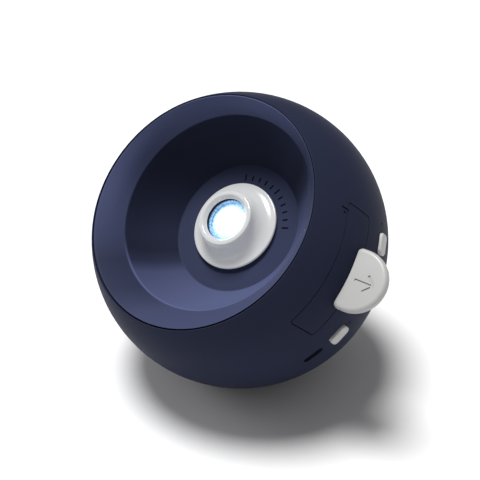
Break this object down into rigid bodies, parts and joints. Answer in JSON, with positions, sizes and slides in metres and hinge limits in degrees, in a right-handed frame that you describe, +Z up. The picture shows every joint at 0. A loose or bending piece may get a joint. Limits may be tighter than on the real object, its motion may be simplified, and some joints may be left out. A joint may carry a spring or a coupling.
{
  "type": "ball story projector with speaker",
  "caption": "Ball-shaped story projector and speaker: deep front dish, turning focus nose with lens, pull-out cartridge, two side buttons, charging socket and rear grille.",
  "frame": {"origin": "centre of the foot pad's bottom face", "axes": "+Z up; the dish and lens look between -Y and +Z, 45 degrees up; +X is the side with the cartridge, buttons and charging socket"},
  "size_m": [0.1221, 0.1096, 0.1084],
  "materials": {
    "navy_shell": "soft-touch satin, fine moulded grain",
    "white_plastic": "glossy moulded",
    "button_plastic": "satin moulded",
    "black_plastic": "matt moulded",
    "grey_plastic": "matt moulded",
    "foot_rubber": "matt",
    "gasket_foam": "soft foam",
    "cone_paper": "pressed fibre",
    "steel": "plated",
    "ferrite": "sintered",
    "aluminium": "extruded",
    "lens_glass": "coated, polished",
    "green_board": "solder mask",
    "cell_sleeve": "shrink sleeve",
    "led_phosphor": "phosphor dome"
  },
  "bodies": {
    "ball": {"body_shell": "navy_shell", "front_dish": "navy_shell", "rear_cover": "navy_shell", "speaker_grille": "navy_shell", "focus_bush": "black_plastic", "panel_frame": "black_plastic", "card_socket": "black_plastic", "cartridge_guide": "black_plastic", "power_switch": "black_plastic", "play_switch": "black_plastic", "charging_tongue": "black_plastic", "battery_cradle": "black_plastic", "processor_chip": "black_plastic", "amplifier_chip": "black_plastic", "memory_chip": "black_plastic", "power_inductor": "black_plastic", "battery_connector": "black_plastic", "lamp_tube": "grey_plastic", "inner_frame": "grey_plastic", "foot_pad": "foot_rubber", "speaker_gasket": "gasket_foam", "speaker_cone": "cone_paper", "speaker_dust_cap": "cone_paper", "cover_screw_1": "steel", "cover_screw_2": "steel", "cover_screw_3": "steel", "cover_screw_4": "steel", "charging_port": "steel", "speaker_frame": "steel", "speaker_magnet": "ferrite", "heat_sink": "aluminium", "picture_panel": "lens_glass", "condenser_lens": "lens_glass", "led_board": "green_board", "main_board": "green_board", "control_board": "green_board", "battery_cell": "cell_sleeve", "led_emitter": "led_phosphor"},
    "focus_ring": {"focus_ring": "white_plastic"},
    "lens_barrel": {"lens_barrel": "black_plastic", "front_lens": "lens_glass", "lens_retainer": "black_plastic", "rear_lens": "lens_glass"},
    "cartridge": {"cartridge_plate": "navy_shell", "cartridge_handle": "white_plastic", "cartridge_carrier": "grey_plastic", "cartridge_card": "green_board"},
    "power_button": {"power_button": "button_plastic", "power_plunger": "black_plastic"},
    "play_button": {"play_button": "button_plastic", "play_plunger": "black_plastic"}
  },
  "joints": [
    {"name": "focus_turn", "type": "hinge", "parent": "ball", "child": "focus_ring", "pos_m": [0, -0.00488, 0.06306], "axis": [0, -0.7071, 0.7071], "range_deg": [-60, 60]},
    {"name": "lens_travel", "type": "slide", "parent": "ball", "child": "lens_barrel", "axis": [0, -0.7071, 0.7071], "range_m": [-0.0016, 0.0016]},
    {"name": "cartridge_slide", "type": "slide", "parent": "ball", "child": "cartridge", "axis": [1, 0, 0], "range_m": [0, 0.02]},
    {"name": "power_press", "type": "slide", "parent": "ball", "child": "power_button", "axis": [-0.9494, 0.222, 0.222], "range_m": [0, 0.0008], "stiffness_N_per_m": 1500},
    {"name": "play_press", "type": "slide", "parent": "ball", "child": "play_button", "axis": [-0.9494, -0.222, -0.222], "range_m": [0, 0.0008], "stiffness_N_per_m": 1500}
  ],
  "couplings": [
    {"joint": "lens_travel", "follows": "focus_turn", "m_per_rad": 0.0015}
  ]
}
